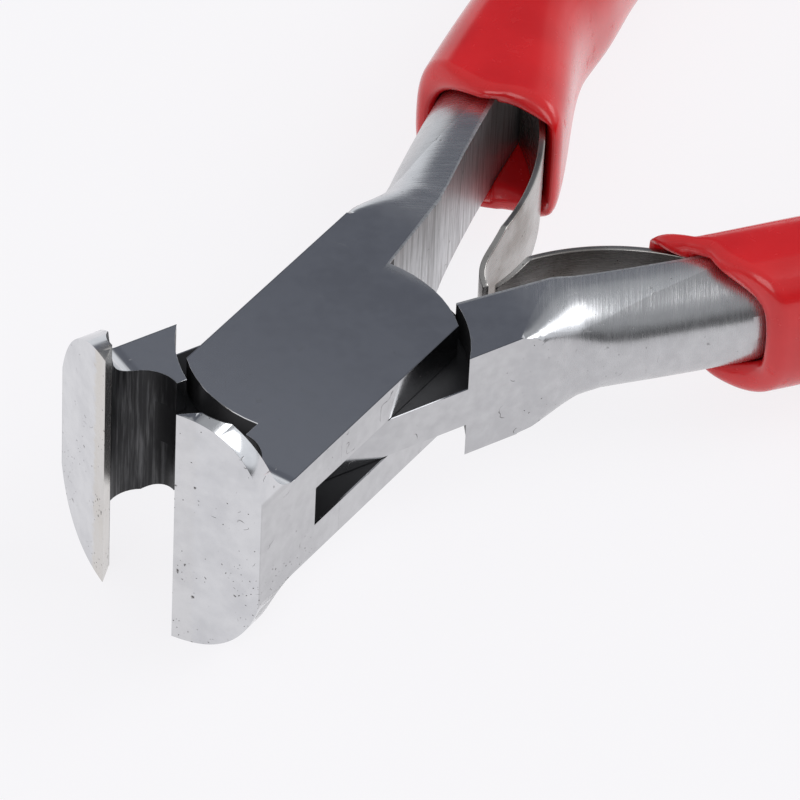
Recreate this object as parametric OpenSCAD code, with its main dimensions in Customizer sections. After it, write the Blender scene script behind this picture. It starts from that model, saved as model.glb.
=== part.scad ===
// End cutting nippers with a box joint, two leaf springs and soft grips.
// Each piece is drawn in the closed frame of its own half: the pivot axis is Z, the jaws
// point to -Y and the handles to +Y. The halves are then swung apart to the rest angle.
// The origin is on the pivot axis, in the joint's upper flat.

/* [Joint] */
// Thickness of the joint between its two ground flats
joint_t = 7; // [6:0.1:9]
// Width of the joint across its two sides
joint_w = 10.3; // [9:0.1:12]
// Radius of the round ends of the two outer plates
plate_r = 7.55; // [7:0.05:8.2]
// Gap between a round plate end and the shoulder that faces it
shoulder_gap = 0.5; // [0.3:0.05:0.8]
// Thickness of the tongue that passes through the outer half
tongue_t = 2.6; // [2:0.1:3.4]
// Play above and below the tongue in its slot
tongue_play = 0.05; // [0.03:0.01:0.1]
// How far the tongue's round corners stand past the shoulders
tongue_step = 0.85; // [0.5:0.05:1.2]
// Space between the tongue's round corners and the walls of its slot
slot_room = 0.5; // [0.3:0.1:0.8]
// Angle between the two halves at rest, held open by the springs
open_angle = 23.5; // [18:0.5:28]

/* [Pivot rivet] */
// Diameter of the pivot rivet
pivot_d = 4; // [3:0.1:5]
// Diameter of the rivet's flared ends
pivot_flare_d = 5.2; // [5.1:0.1:6]
// Depth of the rivet's flared ends
pivot_flare_h = 0.7; // [0.4:0.1:1]
// Radial play of the tongue on the rivet
pivot_play = 0.03; // [0.01:0.01:0.08]

/* [Jaws] */
// Distance from the pivot axis to the cutting edges
jaw_len = 13.7; // [13:0.05:15]
// Length of each cutting edge
edge_len = 16.2; // [13:0.1:19]
// Roundness exponent of the jaw's outline, 2 for an ellipse
jaw_square = 2.5; // [2.1:0.1:3.5]
// Angle at which the outer jaw's front face falls back from its cutting edge
outer_slope = 9; // [5:0.5:11]
// Angle at which the inner jaw's front face falls back from its cutting edge
inner_slope = 4; // [3:0.5:11]
// Thickness of the jaw's rim at the ends of the cutting edge
rim_t = 1.5; // [1.3:0.05:1.7]
// Angle at which the rim thickens towards the joint
rim_draft = 11; // [8:0.5:14]
// Radius of the flare behind the rim
flare_r = 1.7; // [1.4:0.1:2]
// Width of the bevel behind a cutting edge
bevel_w = 1; // [0.7:0.05:1.2]
// Land between the shoulder and the hollow behind a cutting edge
hollow_land = 0.6; // [0.4:0.05:0.8]
// Depth of the web that thickens a jaw's underside behind its rim
web_drop = 1.7; // [1:0.1:2]
// Length over which the web reaches its full depth
web_run = 2.15; // [1.5:0.05:2.5]
// Width of the web's flat underside, from the cutting edge
web_w = 3.2; // [2.5:0.1:4]

/* [Handles] */
// Distance from the pivot axis to the handle's bare end
handle_len = 103.5; // [90:0.5:120]
// Distance from the pivot axis to the neck of the handle
neck_y = 13.6; // [12.6:0.1:15]
// Half of the gap between the closed handles at their necks
neck_gap = 1.6; // [1.2:0.1:2.2]
// Angle between the two joint sides of the closed handles, halved
root_taper = 7.5; // [5:0.5:9]
// Angle at which a handle leaves its neck
splay = 18; // [14:0.5:22]
// Angle at which a handle turns back in at its end
toe_in = 7; // [3:0.5:12]
// Half of the gap between the closed handles at their ends
end_gap = 6.5; // [4:0.5:9]
// Where the joint's flat begins to give way to the round handle
flat_back = 9.6; // [9.5:0.1:10.2]
// Length over which the joint's flat narrows to nothing on the handle
flat_run = 4.3; // [3.6:0.1:4.4]
// Length over which the square joint turns into the round handle
round_len = 5.7; // [4.5:0.1:7]
// Height of the round handle
barrel_h = 6.7; // [5.8:0.1:6.9]
// Depth of the round handle from its flat inner face
barrel_d = 4.1; // [3.6:0.1:5]
// Roundness exponent of the handle, 2 for an ellipse
barrel_square = 2.3; // [2:0.1:3]

/* [Leaf springs] */
// Thickness of a leaf
leaf_t = 0.38; // [0.34:0.02:0.5]
// Width of a leaf
leaf_w = 5.7; // [4.5:0.1:6.2]
// Width of a leaf at its tip
tip_w = 2.6; // [1.8:0.1:4]
// Length over which the outer half's leaf narrows to its tip
outer_tip_len = 3.2; // [2:0.1:5]
// Length over which the inner half's leaf narrows to its tip
inner_tip_len = 1.7; // [1.2:0.1:3]
// Gap between a leaf's fixed tab and the handle
leaf_gap = 0.05; // [0.03:0.01:0.1]
// Length of the tab that is riveted to the handle
tab_len = 9; // [7:0.5:12]
// Angle at which a leaf stands off at its root
leaf_root_angle = 53; // [50:1:55]
// Distance from the pivot axis to the root of the outer half's leaf
outer_root_y = 26.9; // [26.4:0.1:27.6]
// Radius of the outer half's leaf
outer_leaf_r = 17.6; // [17.2:0.05:18]
// Distance from the pivot axis to the root of the inner half's leaf
inner_root_y = 22.1; // [21.8:0.1:23]
// Radius of the inner half's leaf
inner_leaf_r = 12.1; // [11.8:0.1:12.6]
// Angle at which the inner half's leaf turns to its tip
inner_tip_angle = 7; // [6:1:12]
// Radius of the hook at the end of the outer half's leaf
outer_hook_r = 1.7; // [1.4:0.1:2]
// Angle through which that hook turns
outer_hook_angle = 64; // [50:1:72]
// Radius of the turned tip of the inner half's leaf
inner_hook_r = 4; // [3.4:0.1:4.4]
// Angle through which that tip turns
inner_hook_angle = 27; // [20:1:34]
// Diameter of a spring rivet
leaf_rivet_d = 2.2; // [1.6:0.1:2.8]
// Diameter of a spring rivet's flared head
leaf_head_d = 3; // [2.9:0.1:3.8]
// Radial play of a leaf on its rivet
leaf_play = 0.03; // [0.01:0.01:0.08]
// Depth to which a spring rivet stays below the handle's round side
leaf_rivet_inset = 0.3; // [0.2:0.05:0.5]

/* [Grips] */
// Distance from the pivot axis to the mouth of a grip
mouth_y = 22; // [21:0.1:22.4]
// Wall of a grip
grip_wall = 1.2; // [0.9:0.1:1.8]
// Gap between a grip and the handle inside it
grip_gap = 0.05; // [0.03:0.01:0.1]
// Room round a leaf in the mouth of a grip
leaf_room = 0.2; // [0.15:0.05:0.3]
// Wall of a grip over its leaf
pocket_wall = 0.5; // [0.45:0.05:0.9]
// Roundness exponent of a grip's mouth on the side of its leaf
mouth_square = 5.5; // [5:0.1:7]
// Wall of a grip past the end of the handle
grip_end = 2.5; // [1.5:0.1:4]
// Roundness exponent of a grip, 2 for an ellipse
grip_square = 2.8; // [2.4:0.1:3.4]
// Length over which the grip's end is rounded
grip_dome = 5; // [3:0.5:8]
// Share of the wall that is left at the rim of a grip's mouth
lip_wall = 0.7; // [0.6:0.05:0.9]
// Length over which the rim of a grip's mouth is rounded
lip_len = 0.9; // [0.6:0.1:1.4]
// Length over which a grip settles from the leaf's tab to the handle
grip_settle = 7; // [5:0.5:10]
// Length over which the swelling at a grip's mouth dies away
grip_flare = 12; // [9:0.5:16]

/* [Hidden] */
$fn = 96;
steel_colour = [0.72, 0.73, 0.75];
leaf_colour = [0.45, 0.43, 0.42];
grip_colour = [0.85, 0.1, 0.12];

// Overlap of pieces that are cut from one block, and of cutters past a face
lap = 1;
joint_side = joint_w / 2;
shoulder_r = plate_r + shoulder_gap;
tongue_r = shoulder_r + tongue_step;
slot_r = tongue_r + slot_room;
slot_t = tongue_t + 2 * tongue_play;

// The hollow behind a cutting edge runs from its bevel to a land at the shoulder
hollow_from = shoulder_r + hollow_land;
hollow_r = (jaw_len - bevel_w - hollow_from) / 2;
hollow_y = -(hollow_from + hollow_r);

// The flare's arc touches the joint's flat and the sloping back of the rim
rim_back = jaw_len - rim_t;
flare_z = joint_t / 2 + flare_r;
flare_top = flare_z - flare_r * sin(rim_draft);
flat_front = rim_back - (edge_len / 2 - flare_top) * tan(rim_draft) - flare_r * cos(rim_draft);
flare_steps = 12;

// A jaw's outline is wide enough to stay flush with the joint's side over its thickness
jaw_bulge = joint_side / (1 - (joint_t / edge_len) ^ jaw_square) ^ (1 / jaw_square);
jaw_steps = 72;

// Inner face of a handle: straight to the neck, then one cubic curve to the end
root_share = 0.735;
root_y = root_share * plate_r;
run = handle_len - neck_y;
near_pull = 0.215 * run;
far_pull = 0.465 * run;
curve = [
    [neck_gap, neck_y],
    [neck_gap + near_pull * sin(splay), neck_y + near_pull * cos(splay)],
    [end_gap + far_pull * sin(toe_in), handle_len - far_pull * cos(toe_in)],
    [end_gap, handle_len]
];
function bezier(t) = curve[0] * (1 - t) ^ 3 + curve[1] * 3 * t * (1 - t) ^ 2
    + curve[2] * 3 * t ^ 2 * (1 - t) + curve[3] * t ^ 3;
function root_x(y) = neck_gap - (neck_y - y) * tan(root_taper);
neck_steps = 14;
curve_steps = 18;
curve_ease = 1.7;
straight = [for (k = [0:neck_steps]) let (y = flat_back + (neck_y - flat_back) * k / neck_steps) [root_x(y), y]];
bowed = [for (k = [1:curve_steps]) bezier((k / curve_steps) ^ curve_ease)];
face_line = concat(straight, bowed);
face_table = concat([[root_y, root_x(root_y)]], [for (p = face_line) [p.y, p.x]]);
function face_x(y) = lookup(y, face_table);
function face_angle(y) = atan((face_x(y + lap) - face_x(y - lap)) / (2 * lap));

// A handle's section turns from the joint's rectangle into a D with a flat inner face
joint_square = 12;
corner_room = 0.057 * joint_t;
side_slack = 0.5 * barrel_d;
side_steps = 2;
arc_steps = 12;
least_arc = 0.7;
function smooth(u) = let (v = min(1, max(0, u))) v * v * (3 - 2 * v);
function mix(a, b, u) = a + (b - a) * u;
function roundness(y) = smooth((y - flat_back) / round_len);
function section_side(y) = mix(joint_side - face_x(y), barrel_d + side_slack, roundness(y));
function flat_x(y) = max(0, (joint_side - face_x(y)) * (1 - (y - flat_back) / flat_run) - corner_room / 3);
// Height of a section's crown: the ground flat, which sinks to the round handle past its end
function crown(y) = mix(joint_t / 2, barrel_h / 2, smooth((y - flat_back - flat_run) / (round_len - flat_run)));
// One quarter of a section, from the middle of its outer side to the inner face: a flat on
// the joint's side, an arc of a squared ellipse and what is left of the ground flat
function quarter(y) = let (
        u = roundness(y),
        n = 1 / mix(1 / joint_square, 1 / barrel_square, u),
        deep = mix(joint_side - face_x(y) + corner_room, barrel_d, u),
        from = max(least_arc, acos(min(1, section_side(y) / deep) ^ (n / 2))),
        to = min(90 - least_arc, acos((flat_x(y) / deep) ^ (n / 2))),
        high = crown(y) / sin(to) ^ (2 / n),
        arc = [for (k = [0:arc_steps]) let (t = mix(from, to, k / arc_steps))
            [deep * cos(t) ^ (2 / n), high * sin(t) ^ (2 / n)]])
    concat([for (k = [0:side_steps - 1]) [arc[0].x, arc[0].y * k / side_steps]], arc,
           [for (k = [side_steps - 1:-1:0]) [arc[arc_steps].x * k / side_steps, crown(y)]]);
// A ring round the handle at one height along it, grown by a gap on every side
function handle_ring(y, gap = 0) = let (
        q = quarter(y),
        wide = (q[0].x + 2 * gap) / q[0].x,
        last = len(q) - 1,
        high = (q[last].y + gap) / q[last].y,
        upper = [for (k = [last:-1:0]) q[k]],
        lower = [for (k = [1:last]) [q[k].x, -q[k].y]])
    [for (p = concat(upper, lower)) [face_x(y) - gap + p.x * wide, y, p.y * high]];

// Closed solid through a row of rings that all have the same number of points.
// Each end is closed by a fan round the middle of its ring.
function middle_of(ring) = [for (p = ring) 1] * ring / len(ring);
module skin(rings) {
    count = len(rings[0]);
    last = len(rings) - 1;
    near = len(rings) * count;
    sides = [for (r = [0:last - 1], k = [0:count - 1], half = [0, 1])
        let (a = r * count + k, b = r * count + (k + 1) % count)
        half == 0 ? [a, b + count, b] : [a, a + count, b + count]];
    caps = [for (k = [0:count - 1], half = [0, 1]) let (next = (k + 1) % count)
        half == 0 ? [near, k, next] : [near + 1, last * count + next, last * count + k]];
    polyhedron(points = concat([for (r = rings, p = r) p], [middle_of(rings[0]), middle_of(rings[last])]),
               faces = concat(sides, caps), convexity = 6);
}

// A leaf in the frame of the half it is fixed to, with that half's handle at +X.
// Its root lies on the handle and it bends forward along one arc.
function leaf_seat(y) = face_x(y) - leaf_gap - leaf_t / 2;
function leaf_arc(root, r, angle) = [
    leaf_seat(root) - r * (cos(angle) - cos(leaf_root_angle)),
    root - r * (sin(leaf_root_angle) - sin(angle))];
leaf_steps = 20;
function leaf_bow(root, r, tip_angle) = [for (k = [0:leaf_steps])
    leaf_arc(root, r, mix(leaf_root_angle, tip_angle, k / leaf_steps))];
function leaf_tab(root) = concat([[leaf_seat(root + tab_len), root + tab_len]],
    [for (k = [len(face_line) - 1:-1:0]) let (y = face_line[k].y)
        if (y < root + tab_len - leaf_t && y > root + leaf_t) [leaf_seat(y), y]]);
function leaf_hook(from, r, turn) = [for (k = [1:leaf_steps / 2]) let (a = turn * k / (leaf_steps / 2))
    from - r * [1 - cos(a), sin(a)]];
outer_bow = leaf_bow(outer_root_y, outer_leaf_r, 0);
outer_leaf_line = concat(leaf_tab(outer_root_y), outer_bow,
    leaf_hook(outer_bow[leaf_steps], outer_hook_r, outer_hook_angle));
inner_bow = leaf_bow(inner_root_y, inner_leaf_r, inner_tip_angle);
inner_leaf_line = concat(leaf_tab(inner_root_y), inner_bow,
    leaf_hook(inner_bow[leaf_steps], inner_hook_r, inner_hook_angle));

// The same line moved sideways, square to its own direction
function moved(line, shift) = [for (k = [0:len(line) - 1]) let (
        a = line[max(k - 1, 0)],
        b = line[min(k + 1, len(line) - 1)],
        d = (b - a) / norm(b - a))
    line[k] + shift * [d.y, -d.x]];
function reversed(list) = [for (k = [len(list) - 1:-1:0]) list[k]];
function tip_of(line) = line[len(line) - 1];

// How far a leaf stands off the handle in the mouth of its grip
function leaf_stand(y, root, r) = let (
        s = sin(leaf_root_angle) - (root - y) / r)
    face_x(y) - leaf_arc(root, r, asin(s)).x;
function leaf_rise(y, root, r) = y < root ? leaf_stand(y, root, r) - leaf_stand(root, root, r) : 0;

// Depth of a grip's pocket beside the handle, and how far its outside swells for it
function tab_room(y, root) = (leaf_t + leaf_gap + leaf_room) * (1 - smooth((y - root - tab_len) / grip_settle));
function pocket_depth(y, root, r) = leaf_rise(y, root, r) + tab_room(y, root);
function swelling(y, root, r) = tab_room(y, root)
    + leaf_rise(mouth_y, root, r) * mouth_share(y);
// Share of the mouth's own form that is left at one height
function mouth_share(y) = 1 - smooth((y - mouth_y) / grip_flare);
grip_back = handle_len + grip_end;
grip_steps = 16;
dome_steps = 6;
pocket_steps = 8;
dome_tip = 0.12;
pocket_ease = 0.97;
// The cavity of a grip at one height: the handle's ring, then the pocket for the leaf
function cavity_ring(y, root, r) = let (
        side = (leaf_w / 2 + leaf_room) * [for (k = [0:pocket_steps]) 2 * k / pocket_steps - 1],
        depth = max(pocket_depth(y, root, r), 2 * grip_gap),
        x = face_x(y) - grip_gap)
    concat(handle_ring(y, grip_gap), [[x, y, side[0]]],
           [for (z = side) [face_x(y) - depth, y, z * pocket_ease]], [[x, y, side[pocket_steps]]]);
// The outside of a grip, with one point straight out from each point of the cavity
function grip_ring(y, root, r) = let (
        u = max(0, (y - grip_back + grip_dome) / grip_dome),
        small = max(dome_tip, sqrt(max(0, 1 - u * u))),
        lip = 1 - (1 - lip_wall) * max(0, 1 - (y - mouth_y) / lip_len) ^ 2,
        seat = min(y, handle_len),
        wall = grip_wall * lip,
        middle = face_x(seat) + barrel_d / 2,
        out = (barrel_d / 2 + wall) * small,
        leaf_wall = mix(grip_wall, pocket_wall, mouth_share(seat)) * lip,
        leaf_square = mix(grip_square, mouth_square, mouth_share(seat)),
        inside = (barrel_d / 2 + swelling(seat, root, r) + leaf_wall) * small,
        high = (barrel_h / 2 + wall) * small)
    [for (p = cavity_ring(seat, root, r)) let (
            a = atan2(p.z, p.x - middle),
            c = cos(a),
            s = sin(a),
            wide = c < 0 ? inside : out,
            n = c < 0 ? leaf_square : grip_square,
            reach = ((abs(c) / wide) ^ n + (abs(s) / high) ^ n) ^ (-1 / n))
        [middle + reach * c, y, reach * s]];
// Rows of the cavity lie close together where the leaf leaves the handle
pocket_rows = 8;
pocket_span = outer_root_y - mouth_y + lip_len;
grip_cavity_y = concat([handle_len + grip_gap],
    [for (k = [len(face_line) - 2:-1:0]) if (face_line[k].y > mouth_y + pocket_span + lip_len) face_line[k].y],
    [for (k = [pocket_rows:-1:0]) mouth_y + pocket_span * k / pocket_rows]);
grip_outside_y = concat([mouth_y, mouth_y + lip_len / 4, mouth_y + lip_len / 2],
    [for (k = [0:grip_steps]) mix(mouth_y + lip_len, grip_back - grip_dome, (k / grip_steps) ^ curve_ease)],
    [for (k = [1:dome_steps]) grip_back - grip_dome * (1 - sin(90 * k / dome_steps))]);

// Flat profile in Y and Z, carried along X from zero
module along_x(length) {
    rotate([90, 0, 90]) linear_extrude(length) children();
}

// Plate of one thickness, centred on the joint's middle plane
module slab(thick) {
    linear_extrude(thick, center = true) children();
}

// The joint's strip, with its two ends turned round the pivot
module round_strip(r) {
    intersection() {
        circle(r);
        square([joint_w, 4 * r], center = true);
    }
}

// A jaw at +X: the meeting of its plan, its side view and its front view
module jaw(slope) {
    front_side = jaw_len - joint_side * tan(slope);
    intersection() {
        slab(edge_len) difference() {
            polygon([[0, -jaw_len], [joint_side, -front_side], [joint_side, -root_y],
                     [bevel_w, -root_y], [bevel_w, -(jaw_len - bevel_w)]]);
            translate([bevel_w, hollow_y]) circle(hollow_r);
        }
        union() {
            along_x(joint_w) jaw_side();
            jaw_web();
        }
        rotate([90, 0, 0]) linear_extrude(jaw_len + lap) jaw_front();
    }
}

// Side view of a jaw: the joint's thickness, flaring out to the rim
module jaw_side() {
    difference() {
        translate([-jaw_len, -edge_len / 2]) square([jaw_len, edge_len]);
        for (flip = [0, 1]) mirror([0, flip]) polygon(concat(
            [[lap, joint_t / 2]],
            [for (k = [0:flare_steps]) let (a = (90 - rim_draft) * k / flare_steps)
                [-flat_front - flare_r * sin(a), flare_z - flare_r * cos(a)]],
            [[-rim_back - lap * tan(rim_draft), edge_len / 2 + lap], [lap, edge_len / 2 + lap]]));
    }
}

// The web under a jaw: a low block that slopes up to the joint and to the jaw's outer side
module jaw_web() {
    hull() {
        translate([-lap, -rim_back, -joint_t / 2])
            cube([joint_side + lap, rim_back - plate_r, lap]);
        translate([-lap, -rim_back, -joint_t / 2 - web_drop])
            cube([web_w + lap, rim_back - plate_r - web_run, lap]);
    }
}

// Front view of a jaw: a D with its straight side on the cutting edge
module jaw_front() {
    intersection() {
        polygon([for (k = [0:jaw_steps]) let (a = 180 * k / jaw_steps - 90)
            [jaw_bulge * abs(cos(a)) ^ (2 / jaw_square),
             sign(sin(a)) * edge_len / 2 * abs(sin(a)) ^ (2 / jaw_square)]]);
        translate([0, -edge_len]) square([joint_side, 2 * edge_len]);
    }
}

// The square root of a handle at +X, inside the joint
module handle_root() {
    slab(joint_t) polygon([[root_x(root_y), root_y], [joint_side, root_y],
                           [joint_side, flat_back], [root_x(flat_back), flat_back]]);
}

// A bare handle at +X, from its square root to its end, drilled for the spring's rivet
module handle(root) {
    difference() {
        skin([for (p = face_line) handle_ring(p.y)]);
        leaf_rivet_hole(root);
    }
}

// Solid of the pivot rivet, with a little play all round if asked for
module rivet_form(play = 0) {
    cylinder(d = pivot_d + 2 * play, h = joint_t, center = true);
    for (flip = [0, 1]) mirror([0, 0, flip]) translate([0, 0, joint_t / 2 - pivot_flare_h])
        cylinder(d1 = pivot_d, d2 = pivot_flare_d, h = pivot_flare_h);
}

// A spring rivet's place: its axis stands square on the handle's inner face
module at_tab(root) {
    y = root + tab_len / 2;
    translate([face_x(y), y, 0]) rotate([0, 90, -face_angle(y)]) children();
}

// A spring rivet through the leaf's tab and the handle
module leaf_rivet(root) {
    at_tab(root) {
        translate([0, 0, -leaf_gap - leaf_t])
            cylinder(d1 = leaf_head_d, d2 = leaf_rivet_d, h = leaf_t / 2);
        translate([0, 0, -leaf_gap - leaf_t])
            cylinder(d = leaf_rivet_d, h = leaf_gap + leaf_t + barrel_d - leaf_rivet_inset);
    }
}

// Hole for a spring rivet through the handle
module leaf_rivet_hole(root) {
    at_tab(root) translate([0, 0, -lap]) cylinder(d = leaf_rivet_d, h = barrel_d + 3 * lap);
}

// A leaf spring along its line, narrowed to its tip and drilled for its rivet
module leaf(line, root, tip_len) {
    tip_y = tip_of(line).y;
    difference() {
        intersection() {
            slab(leaf_w) polygon(concat(moved(line, leaf_t / 2), reversed(moved(line, -leaf_t / 2))));
            translate([-2 * joint_w, 0, 0]) along_x(4 * joint_w) leaf_width(tip_y, tip_len);
        }
        at_tab(root) {
            translate([0, 0, -leaf_gap - leaf_t - lap])
                cylinder(d = leaf_rivet_d + 2 * leaf_play, h = leaf_t + 2 * lap);
            translate([0, 0, -leaf_gap - leaf_t])
                cylinder(d1 = leaf_head_d + 2 * leaf_play, d2 = leaf_rivet_d + 2 * leaf_play, h = leaf_t / 2);
            translate([0, 0, -leaf_gap - leaf_t - lap])
                cylinder(d = leaf_head_d + 2 * leaf_play, h = lap);
        }
    }
}

// Side view of a leaf, full width with a narrowed tip
module leaf_width(tip_y, tip_len) {
    polygon([[tip_y - lap, tip_w / 2], [tip_y, tip_w / 2], [tip_y + tip_len, leaf_w / 2], [handle_len, leaf_w / 2],
             [handle_len, -leaf_w / 2], [tip_y + tip_len, -leaf_w / 2], [tip_y, -tip_w / 2],
             [tip_y - lap, -tip_w / 2]]);
}

// A grip: a soft sleeve over the handle, with a pocket for the leaf in its mouth
module grip(root, r) {
    skin(concat([for (y = grip_cavity_y) cavity_ring(y, root, r)],
                [for (y = grip_outside_y) grip_ring(y, root, r)]));
}

// Places of the two halves at rest
module swing(side) {
    translate([0, 0, -joint_t / 2]) rotate([0, 0, side * open_angle / 2]) children();
}

module outer_half() {
    color(steel_colour) swing(1) {
        difference() {
            union() {
                slab(joint_t) round_strip(plate_r);
                jaw(outer_slope);
                mirror([1, 0, 0]) handle_root();
            }
            cylinder(r = slot_r, h = slot_t, center = true);
            rivet_form();
        }
        mirror([1, 0, 0]) handle(outer_root_y);
    }
}

module inner_half() {
    color(steel_colour) swing(-1) {
        difference() {
            union() {
                slab(tongue_t) round_strip(tongue_r);
                difference() {
                    union() {
                        mirror([1, 0, 0]) jaw(inner_slope);
                        handle_root();
                    }
                    for (flip = [0, 1]) mirror([0, 0, flip]) translate([0, 0, tongue_t / 2])
                        cylinder(r = shoulder_r, h = edge_len);
                }
            }
            translate([-bevel_w, hollow_y]) cylinder(r = hollow_r, h = edge_len, center = true);
            cylinder(d = pivot_d + 2 * pivot_play, h = joint_t, center = true);
        }
        handle(inner_root_y);
    }
}

module pivot_rivet() {
    color(steel_colour) swing(1) rivet_form();
}

module outer_leaf_spring() {
    color(leaf_colour) swing(1) mirror([1, 0, 0]) leaf(outer_leaf_line, outer_root_y, outer_tip_len);
}

module inner_leaf_spring() {
    color(leaf_colour) swing(-1) leaf(inner_leaf_line, inner_root_y, inner_tip_len);
}

module outer_spring_rivet() {
    color(steel_colour) swing(1) mirror([1, 0, 0]) leaf_rivet(outer_root_y);
}

module inner_spring_rivet() {
    color(steel_colour) swing(-1) leaf_rivet(inner_root_y);
}

module outer_grip() {
    color(grip_colour) swing(1) mirror([1, 0, 0]) grip(outer_root_y, outer_leaf_r);
}

module inner_grip() {
    color(grip_colour) swing(-1) grip(inner_root_y, inner_leaf_r);
}

outer_half();
inner_half();
pivot_rivet();
outer_leaf_spring();
inner_leaf_spring();
outer_spring_rivet();
inner_spring_rivet();
outer_grip();
inner_grip();
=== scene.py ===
"""Looks of a pair of box-joint end cutting nippers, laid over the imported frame.

Sizes in the classes are in millimetres. Each half has a closed frame of its own, in which the pivot
axis is Z, the jaws point to -Y and the handle to +Y. At rest the halves are swung apart, and the
joint's upper flat lies in Z = 0.
"""

import logging
from dataclasses import dataclass
from enum import Enum
from typing import Any

import bmesh
import bpy
import numpy as np
from mathutils import Matrix, Vector


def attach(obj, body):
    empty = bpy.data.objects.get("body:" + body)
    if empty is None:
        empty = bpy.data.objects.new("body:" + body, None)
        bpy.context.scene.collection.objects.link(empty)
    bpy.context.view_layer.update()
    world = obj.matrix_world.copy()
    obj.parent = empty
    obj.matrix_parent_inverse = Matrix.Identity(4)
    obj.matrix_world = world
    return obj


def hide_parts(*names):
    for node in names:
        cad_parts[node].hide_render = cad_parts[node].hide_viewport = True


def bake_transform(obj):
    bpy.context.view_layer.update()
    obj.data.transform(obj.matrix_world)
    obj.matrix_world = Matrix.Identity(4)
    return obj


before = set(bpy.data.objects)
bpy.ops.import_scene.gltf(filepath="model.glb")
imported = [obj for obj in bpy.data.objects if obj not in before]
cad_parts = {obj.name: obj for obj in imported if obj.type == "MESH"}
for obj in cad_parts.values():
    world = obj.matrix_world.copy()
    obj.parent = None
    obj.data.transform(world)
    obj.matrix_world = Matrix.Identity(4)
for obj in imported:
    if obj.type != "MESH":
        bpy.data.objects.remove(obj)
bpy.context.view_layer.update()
MM = 0.001
JOINT_T = 7.0
OPEN_ANGLE = 23.5
TINY = 1e-6
FAR = 1e3
LOG = logging.getLogger("nippers")
Colour = tuple[float, float, float, float]


class Side(Enum):
    """The two halves of the tool, by which part of the box joint they carry."""

    OUTER = "outer"
    INNER = "inner"

    @property
    def mirror(self) -> float:
        """Sign of X on which this half's handle lies in its closed frame."""
        return -1.0 if self is Side.OUTER else 1.0

    @property
    def turn(self) -> float:
        """Angle from the closed frame to rest, in radians."""
        return -self.mirror * np.radians(OPEN_ANGLE / 2)

    @property
    def other(self) -> "Side":
        """The half across the hinge."""
        return Side.INNER if self is Side.OUTER else Side.OUTER

    def place(self, points: np.ndarray) -> np.ndarray:
        """Carries points from a closed frame with the handle at +X to their place at rest.

        Args:
            points: Array of any shape whose last axis is X, Y and Z in millimetres.

        Returns:
            The points in metres: mirrored, turned about Z and dropped by half the joint.
        """
        c, s = np.cos(self.turn), np.sin(self.turn)
        x = self.mirror * points[..., 0]
        y = points[..., 1]
        return MM * np.stack([c * x - s * y, s * x + c * y, points[..., 2] - JOINT_T / 2], -1)


class Wire:
    """A shader socket that takes part in Python arithmetic."""

    def __init__(self, surface: "Surface", socket: bpy.types.NodeSocket) -> None:
        """Keeps the socket and the surface that its node belongs to."""
        self.surface = surface
        self.socket = socket

    def _math(self, operation: str, *terms: Any) -> "Wire":
        """Adds one Math node for an operation on values.

        Args:
            operation: Name of the Math operation.
            terms: Wires or numbers, in the order of the node's inputs.

        Returns:
            The node's result.
        """
        node = self.surface.add("ShaderNodeMath", {"operation": operation}, dict(enumerate(terms)))
        return Wire(self.surface, node.outputs[0])

    def __add__(self, other: Any) -> "Wire":
        """Sum."""
        return self._math("ADD", self, other)

    def __radd__(self, other: Any) -> "Wire":
        """Sum with the wire on the right."""
        return self._math("ADD", other, self)

    def __sub__(self, other: Any) -> "Wire":
        """Difference."""
        return self._math("SUBTRACT", self, other)

    def __rsub__(self, other: Any) -> "Wire":
        """Difference with the wire on the right."""
        return self._math("SUBTRACT", other, self)

    def __mul__(self, other: Any) -> "Wire":
        """Product."""
        return self._math("MULTIPLY", self, other)

    def __rmul__(self, other: Any) -> "Wire":
        """Product with the wire on the right."""
        return self._math("MULTIPLY", other, self)

    def __pow__(self, other: Any) -> "Wire":
        """Power."""
        return self._math("POWER", self, other)

    def least(self, other: Any) -> "Wire":
        """Smaller of two values."""
        return self._math("MINIMUM", self, other)

    def most(self, other: Any) -> "Wire":
        """Larger of two values."""
        return self._math("MAXIMUM", self, other)

    def size(self) -> "Wire":
        """Value without its sign."""
        return self._math("ABSOLUTE", self)

    def below(self, limit: Any) -> "Wire":
        """1 where the value is under a limit and 0 elsewhere."""
        return self._math("LESS_THAN", self, limit)

    def step(self, low: float, high: float) -> "Wire":
        """Smooth step from 0 at low to 1 at high, or falling where low is the larger."""
        settings = {"interpolation_type": "SMOOTHSTEP"}
        node = self.surface.add("ShaderNodeMapRange", settings, {0: self, 1: low, 2: high, 3: 0.0, 4: 1.0})
        return Wire(self.surface, node.outputs[0])


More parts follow.
